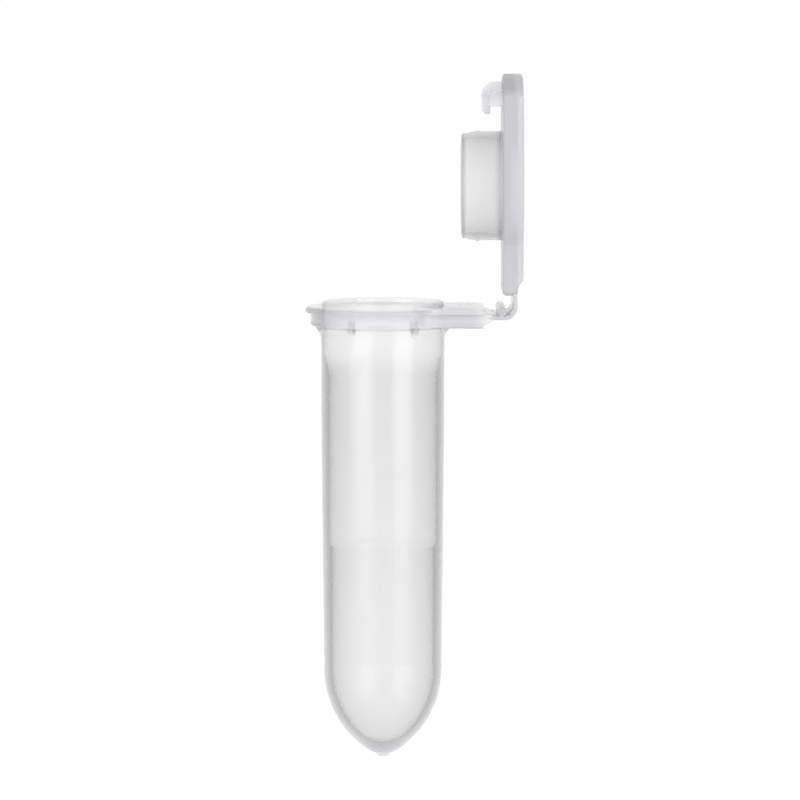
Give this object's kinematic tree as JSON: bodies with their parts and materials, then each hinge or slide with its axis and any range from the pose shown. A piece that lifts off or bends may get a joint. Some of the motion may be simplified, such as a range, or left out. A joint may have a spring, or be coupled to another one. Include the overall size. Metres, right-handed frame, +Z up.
{
  "type": "microcentrifuge tube",
  "caption": "Small hazy polypropylene tube with a tapered round bottom, a hanging flange and a hinged snap lid with a hollow sealing plug.",
  "frame": {"origin": "on the tube's axis, at the underside of the flange, inside the neck's bore", "axes": "+Z up along the tube's axis out of its mouth, +X towards the hinge, +Y along the hinge"},
  "size_m": [0.0192, 0.014, 0.0607],
  "materials": {
    "tube_plastic": "hazy, natural polypropylene, slightly glossy",
    "hinge_plastic": "hazy, natural polypropylene, slightly glossy",
    "lid_plastic": "hazy, natural polypropylene, slightly glossy"
  },
  "bodies": {
    "tube": {"tapered_bottom": "tube_plastic", "gate_nub": "tube_plastic", "lower_barrel": "tube_plastic", "upper_barrel": "tube_plastic", "neck_collar": "tube_plastic", "mouth_rim": "tube_plastic", "top_flange": "tube_plastic", "flange_gussets": "tube_plastic", "catch_lip": "tube_plastic", "hinge_arm": "tube_plastic", "arm_tip": "tube_plastic"},
    "hinge_link": {"hinge_strap": "hinge_plastic", "strap_bead": "hinge_plastic"},
    "lid": {"lid_plate": "lid_plastic", "lid_centre_disc": "lid_plastic", "lid_rim": "lid_plastic", "thumb_tab": "lid_plastic", "lid_hinge_tab": "lid_plastic", "plug_skirt": "lid_plastic", "plug_bead": "lid_plastic"},
    "latch": {"latch_wall": "lid_plastic", "latch_barb": "lid_plastic"}
  },
  "joints": [
    {"name": "strap_fold", "type": "hinge", "parent": "tube", "child": "hinge_link", "pos_m": [0.0099, 0, 0.00092], "axis": [0, 1, 0], "range_deg": [-45, 45]},
    {"name": "lid_fold", "type": "hinge", "parent": "hinge_link", "child": "lid", "pos_m": [0.01143, 0, 0.00245], "axis": [0, 1, 0], "range_deg": [-45, 45]},
    {"name": "latch_flex", "type": "hinge", "parent": "lid", "child": "latch", "pos_m": [0.01054, 0, 0.02155], "axis": [0, 1, 0], "range_deg": [0, 14], "stiffness_Nm_per_rad": 0.004}
  ],
  "couplings": [
    {"joint": "strap_fold", "follows": "lid_fold", "ratio": 1}
  ]
}
